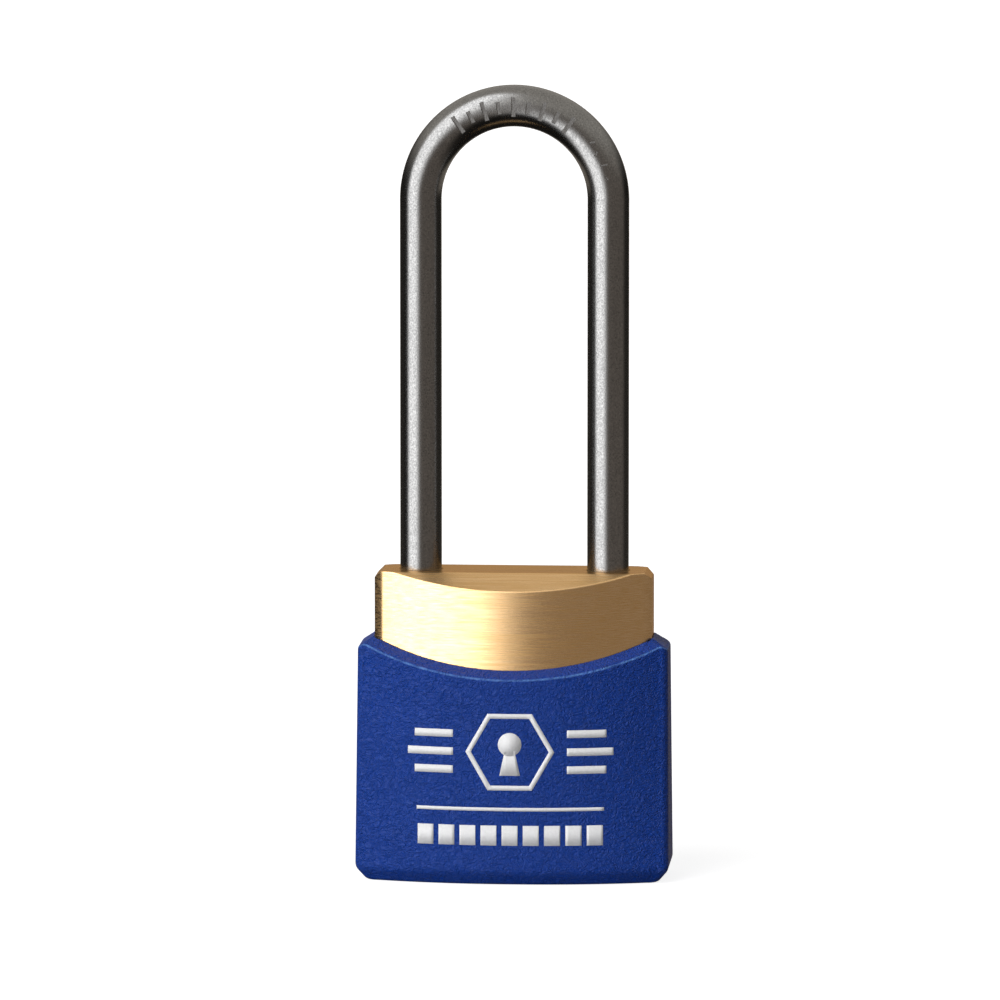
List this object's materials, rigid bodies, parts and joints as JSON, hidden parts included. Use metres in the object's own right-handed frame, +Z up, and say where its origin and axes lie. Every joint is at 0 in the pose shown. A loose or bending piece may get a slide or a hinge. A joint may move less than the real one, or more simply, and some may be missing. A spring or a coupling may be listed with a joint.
{
  "type": "padlock",
  "caption": "Brass padlock in a moulded plastic jacket, with a long steel shackle that lifts, a turning key plug, a sliding bolt and pin stacks inside.",
  "frame": {"origin": "middle of the jacket's bottom face, which the padlock stands on", "axes": "+Z up along the shackle's legs, -Y out of the front face, +X towards the toe leg, the one that comes free"},
  "size_m": [0.0452, 0.0208, 0.1147],
  "materials": {
    "brass_body": "fine brushed brass, brushed along the body's width",
    "jacket_plastic": "satin moulded plastic with a fine orange-peel grain",
    "shackle_steel": "satin tumbled stainless steel",
    "plug_brass": "turned brass",
    "pin_brass": "turned brass",
    "bolt_steel": "ground steel",
    "spring_steel": "drawn spring wire",
    "jacket_print": "white pad print"
  },
  "bodies": {
    "lock_body": {"body": "brass_body", "jacket": "jacket_plastic", "shackle_retaining_pin": "bolt_steel", "plug_retaining_pin": "bolt_steel", "shackle_spring": "spring_steel", "bolt_spring": "spring_steel", "driver_pin_1": "bolt_steel", "driver_pin_2": "bolt_steel", "driver_pin_3": "bolt_steel", "driver_pin_4": "bolt_steel", "driver_pin_5": "bolt_steel", "pin_spring_1": "spring_steel", "pin_spring_2": "spring_steel", "pin_spring_3": "spring_steel", "pin_spring_4": "spring_steel", "pin_spring_5": "spring_steel", "pin_cap_1": "pin_brass", "pin_cap_2": "pin_brass", "pin_cap_3": "pin_brass", "pin_cap_4": "pin_brass", "pin_cap_5": "pin_brass"},
    "shackle": {"shackle": "shackle_steel"},
    "plug": {"cylinder_plug": "plug_brass", "plug_cam": "bolt_steel", "key_pin_1": "pin_brass", "key_pin_2": "pin_brass", "key_pin_3": "pin_brass", "key_pin_4": "pin_brass", "key_pin_5": "pin_brass"},
    "bolt": {"locking_bolt": "bolt_steel"}
  },
  "joints": [
    {"name": "shackle_lift", "type": "slide", "parent": "lock_body", "child": "shackle", "axis": [0, 0, 1], "range_m": [0, 0.013], "deforming": ["shackle_spring"]},
    {"name": "plug_turn", "type": "hinge", "parent": "lock_body", "child": "plug", "pos_m": [0, 0, 0], "axis": [0, 0, 1], "range_deg": [0, 90]},
    {"name": "bolt_slide", "type": "slide", "parent": "lock_body", "child": "bolt", "axis": [1, 0, 0], "range_m": [0, 0.0017]}
  ],
  "couplings": [
    {"joint": "bolt_slide", "follows": "plug_turn", "m_per_rad": 0.001082}
  ]
}
